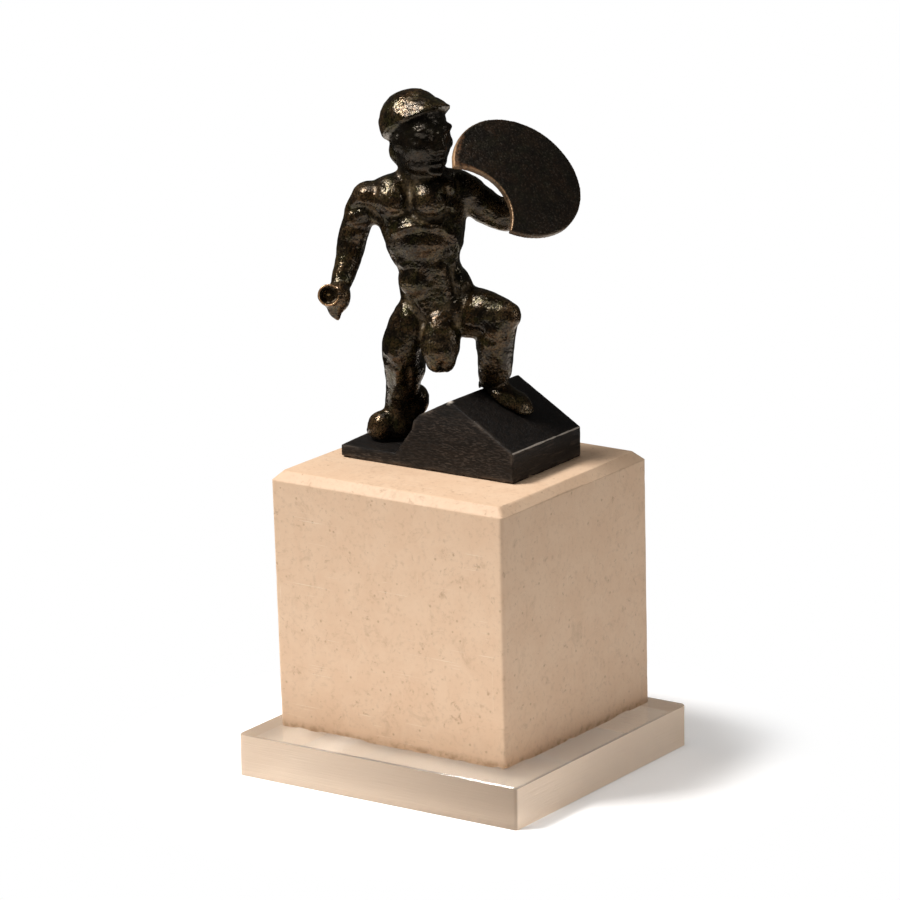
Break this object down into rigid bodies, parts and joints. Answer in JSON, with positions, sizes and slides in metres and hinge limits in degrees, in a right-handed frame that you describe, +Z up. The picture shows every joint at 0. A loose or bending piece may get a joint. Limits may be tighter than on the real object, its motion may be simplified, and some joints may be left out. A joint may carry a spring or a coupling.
{
  "type": "mounted bronze pygmy figure",
  "caption": "Small cast bronze pygmy warrior with a curved shield, striding on a black wood wedge over a stone block and clear acrylic plate.",
  "frame": {"origin": "middle of the acrylic plate's underside, on the surface that it stands on", "axes": "+Z up; -Y is the front of the square stand and +X its right side as seen from the front; the figure faces 34 degrees from -Y towards +X, across the wedge's length"},
  "size_m": [0.061, 0.058, 0.1256],
  "materials": {
    "bronze": "dark cast bronze with brown and green patina, lumpy and softly glossy",
    "black_wood": "black stained fine-grained wood, satin",
    "limestone": "smooth honed peach-beige limestone with small brown specks",
    "acrylic": "clear acrylic sheet with a polished top and frosted sides"
  },
  "bodies": {
    "root": {"bronze_figure": "bronze", "wood_wedge": "black_wood", "stone_block": "limestone", "acrylic_plate": "acrylic"}
  },
  "joints": []
}
